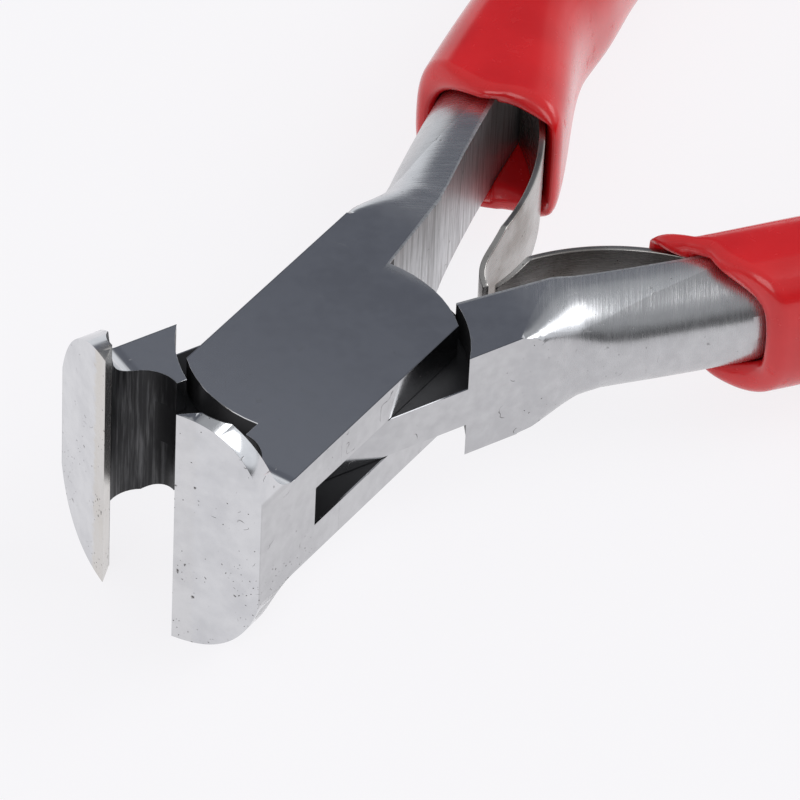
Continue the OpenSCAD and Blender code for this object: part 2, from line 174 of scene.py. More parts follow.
class Surface:
    """A material or world node tree under construction."""

    def __init__(self, tree: bpy.types.NodeTree) -> None:
        """Starts from an empty tree."""
        self.tree = tree
        tree.nodes.clear()

    def add(self, kind: str, settings: dict[str, Any], inputs: dict[Any, Any]) -> bpy.types.Node:
        """Adds a node of any type.

        Args:
            kind: Type name of the node.
            settings: Properties, such as a Math node's operation, which are set first.
            inputs: Values or wires by socket name or number.

        Returns:
            The new node.
        """
        node = self.tree.nodes.new(kind)
        for key, value in settings.items():
            setattr(node, key, value)
        for key, value in inputs.items():
            if isinstance(value, Wire):
                self.tree.links.new(value.socket, node.inputs[key])
            else:
                node.inputs[key].default_value = value
        return node

    def out(self, node: bpy.types.Node, name: Any = 0) -> Wire:
        """One output of a node as a wire."""
        return Wire(self, node.outputs[name])

    def place(self, side: Side) -> Wire:
        """A half's closed frame in millimetres, with its handle at +X and Z from the joint's middle."""
        source = self.out(self.add("ShaderNodeTexCoord", {}, {}), "Object")
        inputs = {
            "Vector": source,
            "Location": (0.0, 0.0, JOINT_T / 2),
            "Rotation": (0.0, 0.0, -side.turn),
            "Scale": (1.0 / MM,) * 3,
        }
        closed = self.out(self.add("ShaderNodeMapping", {"vector_type": "POINT"}, inputs))
        return self.scaled(closed, (side.mirror, 1.0, 1.0))

    def split(self, vector: Wire) -> tuple[Wire, Wire, Wire]:
        """The three parts of a vector."""
        node = self.add("ShaderNodeSeparateXYZ", {}, {0: vector})
        return self.out(node, 0), self.out(node, 1), self.out(node, 2)

    def scaled(self, vector: Wire, factors: tuple[float, float, float]) -> Wire:
        """A vector with each part multiplied by its own factor."""
        node = self.add("ShaderNodeVectorMath", {"operation": "MULTIPLY"}, {0: vector, 1: factors})
        return self.out(node)

    def noise(self, vector: Wire, scale: float, detail: float = 2.0, rough: float = 0.5) -> Wire:
        """Noise about 0.5 at a scale in cells per millimetre."""
        inputs = {"Vector": vector, "Scale": scale, "Detail": detail, "Roughness": rough}
        return self.out(self.add("ShaderNodeTexNoise", {}, inputs), 0)

    def cells(self, vector: Wire, scale: float) -> tuple[Wire, Wire]:
        """Distance to the nearest of scattered points, and a chance of 0 to 1 for each of them."""
        node = self.add("ShaderNodeTexVoronoi", {"feature": "F1"}, {"Vector": vector, "Scale": scale})
        chance = self.split(self.out(node, "Color"))[0]
        return self.out(node, "Distance"), chance

    def shaken(self, vector: Wire, scale: float, reach: float) -> Wire:
        """A vector moved about by noise of a scale, by up to a reach each way."""
        node = self.add("ShaderNodeTexNoise", {}, {"Vector": vector, "Scale": scale, "Detail": 2.0})
        centred = self.add("ShaderNodeVectorMath", {"operation": "SUBTRACT"},
                           {0: self.out(node, "Color"), 1: (0.5, 0.5, 0.5)})
        inputs = {0: self.out(centred), 1: (2 * reach, 2 * reach, 2 * reach), 2: vector}
        return self.out(self.add("ShaderNodeVectorMath", {"operation": "MULTIPLY_ADD"}, inputs))

    def turned(self, vector: Wire, angle: float) -> Wire:
        """A vector turned about Z."""
        inputs = {"Vector": vector, "Rotation": (0.0, 0.0, angle)}
        return self.out(self.add("ShaderNodeMapping", {"vector_type": "POINT"}, inputs))

    def mix(self, share: Any, first: Any, second: Any) -> Wire:
        """Colour between two colours by a share."""
        node = self.add("ShaderNodeMix", {"data_type": "RGBA"}, {0: share, 6: first, 7: second})
        return self.out(node, 2)

    def bump(self, height: Wire, depth: float, strength: float = 1.0) -> Wire:
        """Normal raised by a height of 0 to 1 times a depth in millimetres."""
        inputs = {"Height": height, "Distance": depth * MM, "Strength": strength}
        return self.out(self.add("ShaderNodeBump", {}, inputs))

    def finish(self, shader: Wire, kind: str = "ShaderNodeOutputMaterial") -> None:
        """Ends the tree with an output node."""
        self.add(kind, {}, {0: shader})


def new_material(name: str) -> tuple[bpy.types.Material, Surface]:
    """An empty node material and its surface."""
    material = bpy.data.materials.new(name)
    material.use_nodes = True
    return material, Surface(material.node_tree)


@dataclass(frozen=True)
class SteelGrain:
    """Noises that the looks of the steel share, from fine brush streaks to broad clouds."""

    streak: Wire
    broad: Wire
    upright: Wire
    cloud: Wire
    haze: Wire


@dataclass(frozen=True)
class SteelZones:
    """Masks of 0 to 1 that tell where each look of the steel shows."""

    joint: Wire
    skin_and_shade: Wire
    gleam: Wire
    flank: Wire
    flat: Wire
    front_sheen: Wire
    brushed: Wire
    inner: Wire
    hollow: Wire
    edge: Wire
    spoil: Wire


@dataclass(frozen=True)
class PolishedSteel:
    """Ground and polished tool steel.

    Its flats are plain, lightened towards the front by a painted highlight, its handles are brushed across,
    its sides have pits, short scratches and painted shade, and the inside of the joint and the hollows
    behind the edges keep a dark skin, partly painted shade of these recesses.

    The hollow is a circle's middle and radius. The slot and the shoulder are a reach from the pivot and a
    half height. The face is X and Y of the handle's neck and the slopes before and after it. Each soft,
    from or fade pair gives where a mask is 0 and where it is 1.
    """

    colour: Colour = (0.67, 0.675, 0.69, 1.0)
    shade: Colour = (0.55, 0.555, 0.575, 1.0)
    # Painted highlight: the flats are lightened with this colour towards the front.
    front_sheen_colour: Colour = (0.80, 0.81, 0.83, 1.0)
    # Painted shade that darkens the two outer sides, and the colour of the inner face's grinding lines.
    side_shade_and_line_colour: Colour = (0.36, 0.355, 0.36, 1.0)
    edge_colour: Colour = (0.62, 0.585, 0.53, 1.0)
    pit_colour: Colour = (0.07, 0.062, 0.06, 1.0)
    # Dark skin of the joint's inside and of the hollows, partly painted shade of these recesses.
    skin_and_shade_colour: Colour = (0.022, 0.022, 0.024, 1.0)
    streak_colour: Colour = (0.17, 0.17, 0.175, 1.0)
    rough: float = 0.11
    brushed_rough: float = 0.14
    skin_rough: float = 0.42
    barrel_from: float = 9.4
    barrel_to: float = 12.5
    brush_angle: float = 32.0
    joint_side: float = 5.15
    side_skin: float = 0.09
    side_soft: tuple[float, float] = (0.10, 0.04)
    hollow: tuple[float, float, float] = (-1.0, -10.675, 2.025)
    slot: tuple[float, float] = (9.45, 1.38)
    shoulder: tuple[float, float] = (8.11, 3.43)
    face: tuple[float, float, float, float] = (1.6, 13.6, 0.1317, 0.295)
    face_soft: tuple[float, float] = (0.22, 0.06)
    face_from: tuple[float, float] = (6.5, 8.0)
    flat_soft: tuple[float, float] = (0.08, 0.02)
    flat_from: tuple[float, float] = (-10.0, -9.7)
    # Where the painted highlight on the flats is full and where it is gone.
    front_sheen_fade: tuple[float, float] = (-9.0, 7.0)
    jaw_fade: tuple[float, float] = (-9.5, -3.0)
    edge_y: float = -12.5
    edge_w: float = 1.3
    edge_soft: tuple[float, float] = (0.35, 0.75)
    outer_wear: float = 0.12
    skin_depth: float = 0.05
    relief_depth: float = 0.010

    def inside(self, s: Surface, place: Wire) -> tuple[Wire, Wire]:
        """Masks of the surfaces painted dark: a dark skin, partly painted shade of these recesses.

        Args:
            s: Surface under construction.
            place: Closed frame of the half.

        Returns:
            The joint's inside, and the hollow behind the cutting edge.
        """
        x, y, z = s.split(place)
        reach = (x * x + y * y) ** 0.5
        between = x.size().below(self.joint_side - self.side_skin)
        slot = reach.below(self.slot[0]) * z.size().below(self.slot[1])
        shoulder = reach.below(self.shoulder[0]) * z.size().below(self.shoulder[1])
        hx, hy, hr = self.hollow
        away = ((x - hx) * (x - hx) + (y - hy) * (y - hy)) ** 0.5
        return between * slot.most(shoulder), away.below(hr + self.skin_depth)

    def marks(self, s: Surface, place: Wire) -> tuple[Wire, Wire, Wire]:
        """Small pits in loose crowds and short curved scratches.

        Args:
            s: Surface under construction.
            place: Closed frame of the half.

        Returns:
            Masks of the pits, of the scratches and of the half's two outer sides.
        """
        x, y = s.split(place)[:2]
        flank = (self.joint_side - x.size()).step(*self.side_soft)
        crowd = s.noise(place, 0.28, 2.0).step(0.50, 0.64)
        jaw = 1 - y.step(*self.jaw_fade)
        loose = s.shaken(place, 3.5, 0.16)
        near, chance = s.cells(s.scaled(loose, (1.0, 1.0, 0.7)), 1.7)
        limit = 0.93 - crowd * (0.12 + jaw * 0.35) - flank * jaw * 0.22
        pit = (1 - chance.below(limit)) * (1 - near.step(0.05, 0.18))
        close, odds = s.cells(loose, 4.2)
        fine = (1 - odds.below(limit + 0.04)) * (1 - close.step(0.10, 0.24))
        path = s.noise(s.shaken(place, 0.8, 0.5), 0.5, 1.0)
        short = s.noise(place, 0.9, 1.0).step(0.62, 0.68)
        line = (1 - (path - 0.5).size().step(0.0015, 0.006)) * short
        return pit.most(fine), line, flank

    def grain(self, s: Surface, place: Wire) -> SteelGrain:
        """Noises over the half: drawn out along the brushing, drawn out along Z, and even.

        Args:
            s: Surface under construction.
            place: Closed frame of the half.

        Returns:
            The noises.
        """
        turned = s.turned(place, np.radians(self.brush_angle))
        return SteelGrain(
            streak=s.noise(s.scaled(turned, (0.35, 8.0, 0.35)), 1.0, 3.0, 0.62),
            broad=s.noise(s.scaled(turned, (0.22, 1.3, 0.22)), 1.0, 2.0),
            upright=s.noise(s.scaled(place, (1.0, 5.0, 0.22)), 1.0, 4.0, 0.6),
            cloud=s.noise(place, 0.3, 3.0),
            haze=s.noise(place, 1.4, 2.0),
        )

    def zones(self, s: Surface, place: Wire, side: Side, grain: SteelGrain) -> SteelZones:
        """Masks of the half's surfaces.

        The flats lie at half the joint's thickness from its middle. The handle's inner face lies on the
        larger of two slopes from the neck. The worn edge is a ragged band along the cutting edge.

        Args:
            s: Surface under construction.
            place: Closed frame of the half.
            side: Half that the piece is fixed to.
            grain: Noises of the same surface.

        Returns:
            The masks.
        """
        x, y, z = s.split(place)
        joint, hollow = self.inside(s, place)
        skin_and_shade = joint.most(hollow)
        pits, scratch, flank = self.marks(s, place)
        flat = (z.size() - JOINT_T / 2).size().step(*self.flat_soft) * y.step(*self.flat_from)
        barrel = y.step(self.barrel_from, self.barrel_to)
        fx, fy, near_slope, far_slope = self.face
        run = y - fy
        off_face = x - (run * near_slope).most(run * far_slope) - fx
        inner = off_face.step(*self.face_soft) * y.step(*self.face_from)
        worn = 1.0 if side is Side.INNER else self.outer_wear
        ragged = x + s.noise(s.scaled(place, (1.0, 1.0, 3.0)), 1.2, 3.0) * 0.9 + self.edge_w
        spoil = (pits * 0.9).most(scratch * 0.75) * (1 - skin_and_shade) * (1 - flat * 0.8) * (1 - barrel * 0.5)
        return SteelZones(
            # Dark skin, partly painted shade, inside the joint and in the hollow.
            joint=joint,
            skin_and_shade=skin_and_shade,
            gleam=(grain.upright.step(0.42, 0.75) * 0.8).least(1 - joint) * hollow,
            flank=flank,
            flat=flat,
            # Painted highlight: the flats lighten towards the front, at the jaws.
            front_sheen=(1 - y.step(*self.front_sheen_fade)) * flat,
            brushed=barrel * (1 - inner),
            inner=inner,
            hollow=hollow,
            edge=y.below(self.edge_y) * ragged.step(*self.edge_soft) * worn,
            spoil=spoil,
        )

    def tone(self, s: Surface, zones: SteelZones, grain: SteelGrain) -> Wire:
        """Colour of the half: clouded steel with a painted highlight on the front of the flats, painted
        shade on its sides, its grinding lines and worn places, and the dark skin, partly painted shade, over
        it.

        Args:
            s: Surface under construction.
            zones: Masks of the half.
            grain: Noises of the half.

        Returns:
            The colour.
        """
        clouded = (grain.cloud * 0.7 + grain.haze * 0.3).step(0.36, 0.66) * 0.7
        steel = s.mix(clouded, self.colour, self.shade)
        # Painted highlight on the front of the flats.
        steel = s.mix(zones.front_sheen * 0.6, steel, self.front_sheen_colour)
        lines = grain.upright.step(0.40, 0.68) * zones.inner
        # Painted shade on the outer sides, varied at random, and the inner face's grinding lines.
        steel = s.mix((zones.flank * (0.30 + grain.haze * 0.25)).most(lines * 0.75), steel, self.side_shade_and_line_colour)
        steel = s.mix(zones.edge * (0.25 + grain.upright * 0.75), steel, self.edge_colour)
        steel = s.mix(zones.spoil, steel, self.pit_colour)
        skin_and_shade_tone = s.mix(zones.gleam + zones.joint * grain.haze * 0.08, self.skin_and_shade_colour, self.streak_colour)
        # Dark skin with painted shade over the joint's inside and the hollows.
        return s.mix(zones.skin_and_shade, steel, skin_and_shade_tone)

    def roughness(self, zones: SteelZones, grain: SteelGrain) -> Wire:
        """Roughness of the half: polished, rougher where it is brushed, worn or dark with its skin and
        painted shade.

        Args:
            zones: Masks of the half.
            grain: Noises of the half.

        Returns:
            The roughness.
        """
        brushing = zones.brushed * (0.06 + grain.streak * self.brushed_rough)
        polished = self.rough + grain.cloud * 0.06 + brushing + zones.front_sheen * 0.06
        polished = polished + zones.inner * (0.20 + grain.upright * 0.22)
        polished = polished + zones.spoil * 0.3 + zones.edge * 0.12
        return polished * (1 - zones.skin_and_shade) + zones.skin_and_shade * (self.skin_rough - zones.gleam * 0.12)

    def relief(self, zones: SteelZones, grain: SteelGrain) -> Wire:
        """Height of the half's fine relief: brush lines, grinding lines, haze and sunk pits.

        Args:
            zones: Masks of the half.
            grain: Noises of the half.

        Returns:
            The height, in shares of the relief's depth.
        """
        height = zones.brushed * (grain.streak * 0.8 + grain.broad * 1.6)
        height = height + (zones.inner + zones.hollow * 2.0) * grain.upright
        return height + grain.haze * 0.15 * (1 - zones.flat) - zones.spoil * 0.9

    def material(self, name: str, side: Side) -> bpy.types.Material:
        """Builds the material for a piece of one half.

        Args:
            name: Name of the material.
            side: Half that the piece is fixed to.

        Returns:
            The material.
        """
        material, s = new_material(name)
        place = s.place(side)
        grain = self.grain(s, place)
        zones = self.zones(s, place, side, grain)
        inputs = {
            "Base Color": self.tone(s, zones, grain),
            "Metallic": 1 - zones.skin_and_shade * 0.45,
            "Roughness": self.roughness(zones, grain),
            "Normal": s.bump(self.relief(zones, grain), self.relief_depth),
        }
        s.finish(s.out(s.add("ShaderNodeBsdfPrincipled", {}, inputs)))
        return material


@dataclass(frozen=True)
class SpringSteel:
    """Tempered strip: browner and duller than the halves, with rolling lines along its length."""

    colour: Colour = (0.44, 0.425, 0.41, 1.0)
    stain: Colour = (0.27, 0.245, 0.225, 1.0)
    pit_colour: Colour = (0.08, 0.07, 0.06, 1.0)
    rough: float = 0.18

    def material(self, name: str, side: Side) -> bpy.types.Material:
        """Builds the material for a leaf of one half.

        Args:
            name: Name of the material.
            side: Half that the leaf is fixed to.

        Returns:
            The material.
        """
        material, s = new_material(name)
        place = s.place(side)
        lines = s.noise(s.scaled(place, (0.5, 0.5, 9.0)), 1.0, 3.0)
        cloud = s.noise(place, 0.4, 3.0)
        speck, chance = s.cells(s.shaken(place, 2.5, 0.1), 2.2)
        pits = (1 - chance.below(0.8)) * (1 - speck.step(0.08, 0.16))
        tone = s.mix(cloud.step(0.35, 0.7), self.colour, self.stain)
        inputs = {
            "Base Color": s.mix(pits * 0.7, tone, self.pit_colour),
            "Metallic": 1.0,
            "Roughness": self.rough + lines * 0.18 + pits * 0.2,
            "Normal": s.bump(lines - pits * 0.5, 0.004),
        }
        s.finish(s.out(s.add("ShaderNodeBsdfPrincipled", {}, inputs)))
        return material


@dataclass(frozen=True)
class DippedPlastic:
    """Glossy soft plastic that a handle is dipped in: a smooth skin with faint ripples."""

    colour: Colour = (0.80, 0.014, 0.018, 1.0)
    deep: Colour = (0.70, 0.009, 0.013, 1.0)
    rough: float = 0.2

    def material(self, name: str, side: Side) -> bpy.types.Material:
        """Builds the material for a grip of one half.

        Args:
            name: Name of the material.
            side: Half that the grip is fixed to.

        Returns:
            The material.
        """
        material, s = new_material(name)
        place = s.place(side)
        ripple = s.noise(place, 0.25, 2.0)
        fine = s.noise(place, 3.0, 3.0)
        rub = s.noise(s.shaken(place, 0.6, 0.6), 1.2, 3.0).step(0.6, 0.75)
        inputs = {
            "Base Color": s.mix(ripple.step(0.3, 0.7), self.colour, self.deep),
            "Roughness": self.rough + fine * 0.08 + rub * 0.12,
            "IOR": 1.5,
            "Subsurface Weight": 0.08,
            "Subsurface Radius": (1.0, 0.2, 0.1),
            "Subsurface Scale": 0.4 * MM,
            "Coat Weight": 0.35 - rub * 0.2,
            "Coat Roughness": 0.06,
            "Normal": s.bump(ripple + fine * 0.04, 0.05, 0.5),
        }
        s.finish(s.out(s.add("ShaderNodeBsdfPrincipled", {}, inputs)))
        return material


def ring_mesh(name: str, rings: np.ndarray, flip: bool) -> bpy.types.Object:
    """Closed skin through a row of rings, with a flat cap on each end.

    Args:
        name: Name of the new object.
        rings: Array of shape (rings, points, 3) in metres.
        flip: Whether the rings run against the way that points the faces out.

    Returns:
        The new object, at the origin.
    """
    count, points = rings.shape[:2]
    index = np.arange(count * points).reshape(count, points)
    near, far = index[:-1], index[1:]
    quads = np.stack([near, np.roll(near, -1, 1), np.roll(far, -1, 1), far], -1).reshape(-1, 4)
    faces = quads.tolist() + [index[0][::-1].tolist(), index[-1].tolist()]
    if flip:
        faces = [face[::-1] for face in faces]
    mesh = bpy.data.meshes.new(name)
    mesh.from_pydata(rings.reshape(-1, 3).tolist(), [], faces)
    mesh.shade_smooth()
    mesh.validate()
    piece = bpy.data.objects.new(name, mesh)
    bpy.context.scene.collection.objects.link(piece)
    return piece


def smooth(share: np.ndarray) -> np.ndarray:
    """Smooth step of a share held between 0 and 1."""
    held = np.clip(share, 0.0, 1.0)
    return held * held * (3 - 2 * held)


@dataclass(frozen=True)
class HandleLine:
    """Inner face of a handle in its closed frame: straight to the neck, then one cubic curve."""

    length: float = 103.5
    neck_y: float = 13.6
    neck_gap: float = 1.6
    root_taper: float = 7.5
    splay: float = 18.0
    toe_in: float = 7.0
    end_gap: float = 6.5
    near_share: float = 0.215
    far_share: float = 0.465
    barrel_h: float = 6.7
    barrel_d: float = 4.1
    barrel_square: float = 2.3
    samples: int = 400

    def face_x(self, y: np.ndarray) -> np.ndarray:
        """Distance of the inner face from the middle plane.

        Args:
            y: Distances along the tool.

        Returns:
            X of the straight line before the neck and of the cubic curve after it.
        """
        run = self.length - self.neck_y
        splay, toe = np.radians(self.splay), np.radians(self.toe_in)
        near, far = self.near_share * run, self.far_share * run
        poles = np.array([
            [self.neck_gap, self.neck_y],
            [self.neck_gap + near * np.sin(splay), self.neck_y + near * np.cos(splay)],
            [self.end_gap + far * np.sin(toe), self.length - far * np.cos(toe)],
            [self.end_gap, self.length],
        ])
        t = np.linspace(0.0, 1.0, self.samples)[:, None]
        curve = (poles[0] * (1 - t) ** 3 + poles[1] * 3 * t * (1 - t) ** 2
                 + poles[2] * 3 * t ** 2 * (1 - t) + poles[3] * t ** 3)
        straight = self.neck_gap - (self.neck_y - y) * np.tan(np.radians(self.root_taper))
        return np.where(y < self.neck_y, straight, np.interp(y, curve[:, 1], curve[:, 0]))


@dataclass
class LeafSpring:
    """One leaf of the pair that presses the handles apart."""

    side: Side
    root_y: float
    radius: float
    tip_angle: float
    hook_r: float
    hook_angle: float
    tip_len: float
    handle: HandleLine
    thick: float = 0.38
    width: float = 5.7
    tip_w: float = 2.6
    seat_gap: float = 0.05
    tab_len: float = 9.0
    root_angle: float = 53.0
    edge_r: float = 0.09
    end_share: float = 0.93
    spacing: float = 0.15
    ease: int = 7

    def seat(self, y: np.ndarray) -> np.ndarray:
        """X of the leaf's middle where its tab lies on the handle."""
        return self.handle.face_x(y) - self.seat_gap - self.thick / 2

    def line(self) -> np.ndarray:
        """Middle line of the leaf: its tab on the handle, one arc off it and the turned tip.

        Returns:
            Evenly spaced points as an array of shape (n, 2), with the bends eased.
        """
        tab_y = np.linspace(self.root_y + self.tab_len, self.root_y + self.thick, 40)
        tab = np.stack([self.seat(tab_y), tab_y], 1)
        root = np.radians(self.root_angle)
        angle = np.linspace(root, np.radians(self.tip_angle), 80)
        start = np.array([self.seat(np.array(self.root_y)), self.root_y])
        bow = start - self.radius * np.stack([np.cos(angle) - np.cos(root), np.sin(root) - np.sin(angle)], 1)
        turn = np.radians(np.linspace(0.0, self.hook_angle, 24))[1:]
        hook = bow[-1] - self.hook_r * np.stack([1 - np.cos(turn), np.sin(turn)], 1)
        points = np.concatenate([tab, bow, hook])
        run = np.concatenate([[0.0], np.cumsum(np.linalg.norm(np.diff(points, axis=0), axis=1))])
        even = np.arange(0.0, run[-1], self.spacing)
        line = np.stack([np.interp(even, run, points[:, k]) for k in (0, 1)], 1)
        spare = self.ease // 2
        padded = np.pad(line, ((spare, spare), (0, 0)), mode="reflect", reflect_type="odd")
        window = np.ones(self.ease) / self.ease
        return np.stack([np.convolve(padded[:, k], window, mode="valid") for k in (0, 1)], 1)

    def rings(self) -> np.ndarray:
        """Rings round the strip: a rectangle with round edges, narrowed along the tip.

        Returns:
            Array of shape (rings, points, 3) in the closed frame with the handle at +X.
        """
        line = self.line()
        way = np.gradient(line, axis=0)
        way /= np.linalg.norm(way, axis=1)[:, None]
        across = np.stack([way[:, 1], -way[:, 0]], 1)
        tip_y = line[-1, 1]
        share = np.clip((line[:, 1] - tip_y) / self.tip_len, 0.0, 1.0)
        half_w = (self.tip_w + (self.width - self.tip_w) * share) / 2
        corner = np.radians(np.linspace(0.0, 90.0, 5))
        arc = self.edge_r * np.stack([np.cos(corner), np.sin(corner)], 1) - self.edge_r
        lift, wide = arc[:, 0] + self.thick / 2, arc[:, 1]
        signs = np.array([[1, 1], [-1, 1], [-1, -1], [1, -1]])
        order = [slice(None), slice(None, None, -1)] * 2
        rise = np.concatenate([s[0] * lift[o] for s, o in zip(signs, order)])
        reach = np.concatenate([s[1] * wide[o] for s, o in zip(signs, order)])
        sides = np.repeat(signs[:, 1], len(corner))
        xy = line[:, None, :] + across[:, None, :] * rise[None, :, None]
        z = half_w[:, None] * sides[None, :] + reach[None, :]
        body = np.concatenate([xy, z[..., None]], -1)
        middle = np.concatenate([line, np.zeros((len(line), 1))], 1)[:, None, :]
        small = 1 - self.edge_r / self.thick
        first = middle[0] + (body[0] - middle[0]) * np.array([small, small, 1.0])
        last = middle[-1] + (body[-1] - middle[-1]) * np.array([small, small, self.end_share])
        last[:, :2] += way[-1] * self.edge_r
        return np.concatenate([first[None], body, last[None]])

    def build(self, finish: SpringSteel) -> bpy.types.Object:
        """Makes the leaf and dresses it.

        Args:
            finish: Finish of the strip.

        Returns:
            The new piece.
        """
        name = f"{self.side.value}_leaf"
        rings = self.side.place(self.rings())
        piece = ring_mesh(name, rings, self.side is Side.INNER)
        piece.data.materials.append(finish.material(f"{name}_steel", self.side))
        root_x = self.seat(np.array(self.root_y))
        tip_x, tip_y = self.line()[-1]
        root, tip = self.side.place(np.array([[root_x, self.root_y, 0.0], [tip_x, tip_y, 0.0]]))
        tuple(2 * tip - root)
        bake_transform(piece)
        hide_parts(f"{self.side.value}_leaf_spring")
        return piece


@dataclass
class Grip:
    """A dipped sleeve over a handle, swollen at its mouth for the pocket of the leaf."""

    side: Side
    root_y: float
    radius: float
    handle: HandleLine
    round_back: float
    leaf_forward: float
    mouth_y: float = 22.0
    wall: float = 1.2
    pocket_wall: float = 0.5
    gap: float = 0.05
    leaf_t: float = 0.38
    leaf_w: float = 5.7
    leaf_room: float = 0.2
    tab_len: float = 9.0
    root_angle: float = 53.0
    end_wall: float = 2.5
    square: float = 2.8
    mouth_square: float = 5.5
    dome: float = 5.0
    lip_len: float = 0.9
    settle: float = 7.0
    flare: float = 12.0
    wave_len: float = 9.0
    around: int = 160
    cavity_rows: int = 70
    lip_rows: int = 17
    outside_rows: int = 120
    dome_rows: int = 20
    reach_rounds: int = 24

    def leaf_rise(self, y: np.ndarray) -> np.ndarray:
        """How far the leaf has left the handle before its root, along its arc."""
        s0 = np.sin(np.radians(self.root_angle))
        s = np.clip(s0 - (self.root_y - y) / self.radius, 0.0, s0)
        arc = self.radius * (np.sqrt(1 - s * s) - np.cos(np.radians(self.root_angle)))
        root_x = self.handle.face_x(np.array(self.root_y))
        return np.where(y < self.root_y, self.handle.face_x(y) - root_x + arc, 0.0)

    def tab_room(self, y: np.ndarray) -> np.ndarray:
        """Room for the leaf's tab, which fades out behind it."""
        room = self.leaf_t + self.gap + self.leaf_room
        return room * (1 - smooth((y - self.root_y - self.tab_len) / self.settle))

    def mouth_share(self, y: np.ndarray) -> np.ndarray:
        """1 at the mouth, falling to 0 where the sleeve has lost the leaf's swelling."""
        return 1 - smooth((y - self.mouth_y) / self.flare)

    def wave(self, y: np.ndarray, angle: np.ndarray) -> np.ndarray:
        """Distances along the tool after the dip line's wave.

        The plastic stops further back on the handle's round side, and on the leaf's side it runs forward
        or stays back. The wave fades out behind the mouth.

        Args:
            y: Distances along the tool before the wave.
            angle: Directions round the handle's middle, 0 at its round side.

        Returns:
            Distances of shape (y, angle).
        """
        c = np.cos(angle)
        shift = self.round_back * smooth(c + 0.2) - self.leaf_forward * smooth((-c - 0.3) / 0.45)
        fade = 1 - smooth((y - self.mouth_y) / self.wave_len)
        return y[:, None] + shift[None, :] * fade[:, None]

    def cavity(self, y: np.ndarray, angle: np.ndarray) -> np.ndarray:
        """Inside of the sleeve: the handle's D and the leaf's pocket, seen from the handle's middle.

        The D is a squared ellipse cut by the inner face. Its reach in each direction is found in rounds.

        Args:
            y: Distances along the tool, one for each ring and direction.
            angle: Directions round the middle, 0 at the handle's round side.

        Returns:
            Points of shape (y, angle, 3).
        """
        c, s = np.cos(angle)[None, :], np.sin(angle)[None, :]
        half_d = self.handle.barrel_d / 2
        half_h = self.handle.barrel_h / 2 + self.gap
        deep = self.handle.barrel_d + self.gap
        depth = np.maximum(self.leaf_rise(y) + self.tab_room(y), 2 * self.gap)
        n = self.handle.barrel_square
        reach = np.full((1, len(angle)), half_d)
        for _ in range(self.reach_rounds):
            px = np.clip((half_d + reach * c) / deep, 0.0, None)
            value = px ** n + (reach * np.abs(s) / half_h) ** n
            reach = reach / np.maximum(value, TINY) ** (1 / (2 * n))
        flat = np.where(c < 0, (half_d + self.gap) / np.maximum(-c, TINY), FAR)
        inner = np.minimum(reach, flat)
        pocket_w = self.leaf_w / 2 + self.leaf_room
        pocket = np.minimum((half_d + depth) / np.maximum(-c, TINY), pocket_w / np.maximum(np.abs(s), TINY))
        full = np.where(c < 0, np.maximum(inner, pocket), inner)
        return np.stack([self.handle.face_x(y) + half_d + full * c, y, full * s], -1)

    def outside(self, y: np.ndarray, angle: np.ndarray) -> np.ndarray:
        """Outside of the sleeve: a squared ellipse, deeper on the side of the leaf, domed at the end.

        Args:
            y: Distances along the tool, one for each ring and direction.
            angle: Directions round the middle, 0 at the handle's round side.

        Returns:
            Points of shape (y, angle, 3).
        """
        c, s = np.cos(angle)[None, :], np.sin(angle)[None, :]
        back = self.handle.length + self.end_wall
        over = np.clip((y - back + self.dome) / self.dome, 0.0, 1.0)
        small = np.maximum(0.02, np.sqrt(np.maximum(0.0, 1 - over * over)))
        seat = np.minimum(y, self.handle.length)
        half_d = self.handle.barrel_d / 2
        share = self.mouth_share(seat)
        swell = self.tab_room(seat) + self.leaf_rise(np.array(self.mouth_y)) * share
        swell = np.maximum(swell, self.tab_room(seat) + self.leaf_rise(seat))
        leaf_wall = self.wall + (self.pocket_wall - self.wall) * share
        out = (half_d + self.wall) * small
        inside = (half_d + swell + leaf_wall) * small
        high = (self.handle.barrel_h / 2 + self.wall) * small
        wide = inside + (out - inside) * smooth((c + 0.35) / 0.7)
        n = self.square + (self.mouth_square - self.square) * share * smooth(-c / 0.5)
        reach = ((np.abs(c) / wide) ** n + (np.abs(s) / high) ** n) ** (-1 / n)
        return np.stack([self.handle.face_x(seat) + half_d + reach * c, y, reach * s], -1)

    def rings(self) -> np.ndarray:
        """Rings from the bottom of the cavity out over the lip and along the outside to the end."""
        angle = np.linspace(0.0, 2 * np.pi, self.around, endpoint=False)
        first = self.mouth_y + self.lip_len
        bottom = self.handle.length + self.gap
        deep = first + (bottom - first) * np.linspace(1.0, 0.0, self.cavity_rows) ** 1.6
        cavity = self.cavity(self.wave(deep, angle), angle)
        turn = np.radians(np.linspace(0.0, 180.0, self.lip_rows))
        lip_y = self.wave(self.mouth_y + self.lip_len * (1 - np.sin(turn)), angle)
        inner, outer = self.cavity(lip_y, angle), self.outside(lip_y, angle)
        lip = inner + (outer - inner) * (0.5 - 0.5 * np.cos(turn))[:, None, None]
        back = self.handle.length + self.end_wall
        along = first + (back - self.dome - first) * np.linspace(0.0, 1.0, self.outside_rows) ** 1.5
        rise = np.radians(np.linspace(0.0, 90.0, self.dome_rows))
        dome = back - self.dome * (1 - np.sin(rise))
        y = np.concatenate([along[1:], dome[1:]])
        return np.concatenate([cavity[:-1], lip, self.outside(self.wave(y, angle), angle)])

    def build(self, finish: DippedPlastic) -> bpy.types.Object:
        """Makes the sleeve and dresses it.

        Args:
            finish: Finish of the plastic.

        Returns:
            The new piece.
        """
        name = f"{self.side.value}_sleeve"
        piece = ring_mesh(name, self.side.place(self.rings()), self.side is Side.OUTER)
        piece.data.materials.append(finish.material(f"{name}_plastic", self.side))
        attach(piece, self.side.value)
        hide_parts(f"{self.side.value}_grip")
        return piece


